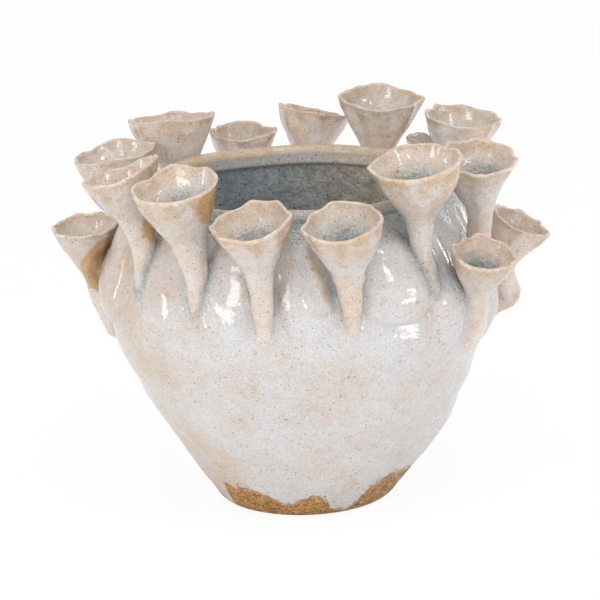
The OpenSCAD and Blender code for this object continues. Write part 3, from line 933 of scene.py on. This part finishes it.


# How far from the front of the rim a mouth starts to count as at the back, where painted light
# lightens the cup, and over how much more it comes to do so
back_from = 205
back_over = 60
skin_tree = trumpet_skin()
stems = []
trumpet_pieces = []
for number, trumpet in enumerate(TRUMPETS):
    name, _, cup = trumpet[:3]
    line, cup_way = middle_line(trumpet)
    mesh = skin_trumpet(skin_tree, trumpet, line, cup_way, number)
    below_lip = read(mesh, "below_lip", 1) / MM
    inside = read(mesh, "inside", 1)
    middle = read(mesh, "middle", 3) / MM
    points, _, _ = mesh_arrays(mesh)
    axis = unit(line[0] - line[1])
    points = pinch_lip(points, middle, below_lip, cup, axis, LIP_RISES[number], number)
    mesh.vertices.foreach_set("co", (points * MM).ravel())
    mesh.update()
    points, normals, edges = mesh_arrays(mesh)
    depth = cup[1]
    on_outside = inside < 0.01
    stems.append(stem_balls(points[on_outside], middle[on_outside], below_lip[on_outside], depth))
    points, gap = lute_stem(points, normals, below_lip, depth, on_outside)
    mesh.vertices.foreach_set("co", (points * MM).ravel())

    # Where the glaze is thin, thick or stained, and where painted light lightens it
    along = below_lip / depth
    down = np.maximum(below_lip, 0)
    to_end = below_lip[on_outside].max() - below_lip
    radial = points - middle
    from_front = np.linalg.norm(line[0][:2] - [0, -rim_r])
    at_back = soft_step((from_front - back_from) / back_over)
    lip_outside = (0.6 - 0.22 * at_back) * np.exp(-down / 10)
    lip_inside = 0.5 * (1 - soft_step(along / 0.36))
    beside_wall = np.exp(-(np.maximum(gap, 0) / 5) ** 2) * soft_step((points[:, 2] - 155) / 40)
    in_cup = soft_step((along - 0.18) / 0.42)
    ridge = bulge_marks(points, normals, edges, 8) * soft_step(0.3 + to_end / 25)
    # Painted light lightens the lower stems and the cups at the back outside, and the near cups inside
    milk_outside = np.maximum(at_back, 0.35 * soft_step(along - 0.5))
    mark_points(
        mesh,
        lip=np.where(on_outside, lip_outside, lip_inside),
        warm=0.42 + 0.3 * np.exp(-down / 14) + 0.15 * soft_step(along - 0.8),
        pool=np.where(on_outside, beside_wall * 0.8, in_cup),
        ridge=np.clip(ridge * 0.7, 0, 0.6) * on_outside * (below_lip > 3),
        stain=stain_marks(name, radial, below_lip) * on_outside,
        milk=np.where(on_outside, milk_outside, 0.4 * (1 - at_back)),
    )
    trumpet_pieces.append((put_in_scene("glazed_" + name, mesh), name))

round_way = np.roll(body, -1, 1) - np.roll(body, 1, 1)
body_normals = unit(np.cross(round_way, np.gradient(body, axis=0)))
wall_rows = slice(outer_from, outer_to + len(roll) // 2)
wall_points = body[wall_rows].reshape(-1, 3)
wall_normals = body_normals[wall_rows].reshape(-1, 3)
wall_lift, from_stem = lute_wall(wall_points, wall_normals, stems)
body[wall_rows] += (wall_normals * wall_lift[:, None]).reshape(body[wall_rows].shape)

# The body's mesh, closed at the middle of the floor and under the foot
points = np.vstack([body.reshape(-1, 3), [[0, 0, hollow], [0, 0, floor_z]]])
faces = ring_faces(len(rows), columns).tolist()
under, over = len(points) - 2, len(points) - 1
last_ring = (len(rows) - 1) * columns
for k in range(columns):
    after = (k + 1) % columns
    faces.append((under, after, k))
    faces.append((over, last_ring + k, last_ring + after))
body_mesh = bpy.data.meshes.new("glazed_pot_body")
body_mesh.from_pydata((points * MM).tolist(), [], faces)
body_mesh.polygons.foreach_set("use_smooth", [True] * len(body_mesh.polygons))
body_mesh.materials.append(glaze)
points, normals, edges = mesh_arrays(body_mesh)
row_of = np.concatenate([np.repeat(np.arange(len(rows)), columns), [0, len(rows) - 1]])
turn = turn_of(points)
stem_gap = np.full(len(points), no_stem_near)
stem_gap[outer_from * columns:outer_from * columns + len(from_stem)] = from_stem
z_of = points[:, 2]

# Height of the glaze's edge over the foot, by turn from the front
GLAZE_EDGE = [
    [-180, 16], [-155, 25], [-130, 12], [-105, 22], [-88, 19], [-76, 18], [-68, 7], [-56, 1],
    [-50, 26], [-45, 24.5], [-32, 24.5], [-20, 18], [-13, 11.5], [-5.5, 14.5], [3.5, 20.5],
    [10.5, 17.5], [14.5, 6.5], [26, 3], [33, 12], [40, 26.5], [55, 29], [76, 27], [95, 20],
    [120, 9], [150, 22], [180, 16],
]
edge_turn, edge_height = np.array(GLAZE_EDGE, float).T
above_edge = z_of - np.interp(turn, edge_turn, edge_height)
ridge = bulge_marks(points, normals, edges, 10)
on_outside = row_of < outer_to
on_rim = (row_of >= outer_to - 2) & (z_of > roll_z - band_h - 1)
inside_pot = row_of > roll_to
in_vessel = inside_pot * np.maximum(soft_step((roll_z - band_h + 2 - z_of) / 4), 0.6)
# A painted shade line inside the pot, just under the band's lower edge, where the rim overhangs
painted_shade_line = inside_pot * np.exp(-((z_of - roll_z + band_h + 1) / 1.6) ** 2)
in_front = soft_step((80 - np.abs(turn)) / 40)
washed = soft_step((turn - 16) / 10) * soft_step((80 - turn) / 15)
left_side = soft_step((-turn - 20) / 50) * soft_step((turn + 160) / 40)
right_way = np.sin(np.radians(turn))
beside_stem = np.exp(-(np.maximum(stem_gap, 0) / 5.5) ** 2) * soft_step((z_of - 160) / 40)
under_rim = soft_step((z_of - 220) / 20)
mark_points(
    body_mesh,
    bare=np.minimum(np.clip(0.5 - above_edge / 16, 0, 1), 1 - 0.44 * washed) * on_outside,
    vessel=np.maximum(in_vessel, 0.35 * on_rim * in_front),
    pool=np.clip(0.75 * (beside_stem + under_rim), 0, 1) * on_outside + 0.6 * on_rim * in_front,
    ridge=np.clip(ridge * 1.1 - 0.2, 0, 0.7) * soft_step((z_of - 165) / 40) * on_outside,
    warm=np.where(inside_pot, soft_step((right_way + 0.44) / 1.3), 0.65 * left_side),
    lip=(0.8 - 0.25 * in_front) * on_rim * (0.36 + 0.64 * soft_step((z_of - roll_z + 4) / 7)),
    milk=np.zeros(len(points)),
    # The painted shade line under the band takes the stains' rust colours
    stain=0.6 * painted_shade_line,
)
body_piece = put_in_scene("glazed_pot_body", body_mesh)
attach(body_piece, "root")
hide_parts("pot_body")
for piece, name in trumpet_pieces:
    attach(piece, "root")
    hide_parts(name)

# Setting: a white floor that runs out of sight and even light from all round, which the camera
# and the glaze's reflections see as white. Soft boxes above and at the sides and a few small
# windows give the highlights, and a fill at the front lights the pot without being mirrored.
floor_half = 6
floor_mesh = bpy.data.meshes.new("floor")
floor_mesh.from_pydata(
    [(-floor_half, -floor_half, 0), (floor_half, -floor_half, 0),
     (floor_half, floor_half, 0), (-floor_half, floor_half, 0)], [], [(0, 1, 2, 3)])
floor = put_in_scene("floor", floor_mesh)
paper = bpy.data.materials.new("white_paper")
tree = empty_tree(paper)
seen = add(tree, "ShaderNodeLightPath", {}, {}, "Is Camera Ray")
matt = add(tree, "ShaderNodeBsdfDiffuse", {}, {"Color": linear("#FFFFFF")})
glow = add(tree, "ShaderNodeEmission", {}, {"Color": (1, 1, 1, 1), "Strength": 1.0})
mixed = add(tree, "ShaderNodeMixShader", {}, [add(tree, MATH, TIMES, [seen, 0.92]), matt, glow])
add(tree, "ShaderNodeOutputMaterial", {}, {"Surface": mixed})
floor_mesh.materials.append(paper)

world = bpy.data.worlds.new("white_studio")
bpy.context.scene.world = world
tree = empty_tree(world)
rays = add(tree, "ShaderNodeLightPath", {}, {}, "Is Camera Ray").node.outputs
white_rays = add(tree, MATH, MOST, [rays["Is Camera Ray"], rays["Is Glossy Ray"]])
white_rays = add(tree, MATH, MOST, [white_rays, rays["Is Transmission Ray"]])
strength = add(tree, SPAN, {}, [white_rays, 0, 1, 0.66, 1])
sky = add(tree, "ShaderNodeBackground", {}, {"Color": (1, 1, 1, 1), "Strength": strength})
add(tree, "ShaderNodeOutputWorld", {}, {"Surface": sky})

# Each lamp: name, turn from the front, height of its middle, distance, width and height, in
# metres, and power in watts
LAMPS = [
    ["left_softbox", -37, 1.0, 2.1, 0.6, 0.6, 8],
    ["right_softbox", 51, 1.3, 1.9, 0.28, 0.42, 4],
    ["top_softbox", 0, 2.3, 0.9, 1.6, 1.2, 12],
    ["rim_strip", 0, 2.0, 0.75, 1.6, 0.07, 4],
    ["high_window", 1, 1.25, 2.3, 0.15, 0.13, 0.7],
    ["low_right_window", 65, 0.25, 1.9, 0.5, 0.16, 2.2],
    ["far_left_window", -82, 0.35, 1.9, 0.2, 0.6, 4],
    ["right_back_window", 122, 0.55, 1.9, 0.3, 0.5, 4.5],
    ["front_fill", 0, 1.15, 2.6, 1.4, 0.8, 10],
]
for name, turn, height, distance, wide, tall, power in LAMPS:
    lamp_data = bpy.data.lights.new(name, "AREA")
    lamp_data.shape = "RECTANGLE"
    lamp_data.size = wide
    lamp_data.size_y = tall
    lamp_data.energy = power
    lamp = put_in_scene(name, lamp_data)
    lamp.visible_glossy = name != "front_fill"
    lamp.location = Vector(outward(turn)) * distance + Vector((0, 0, height))
    aim = Vector((0, 0, pot_h * 0.7 * MM)) - lamp.location
    lamp.rotation_euler = aim.to_track_quat("-Z", "Y").to_euler()

bpy.context.scene.view_settings.view_transform = "Standard"
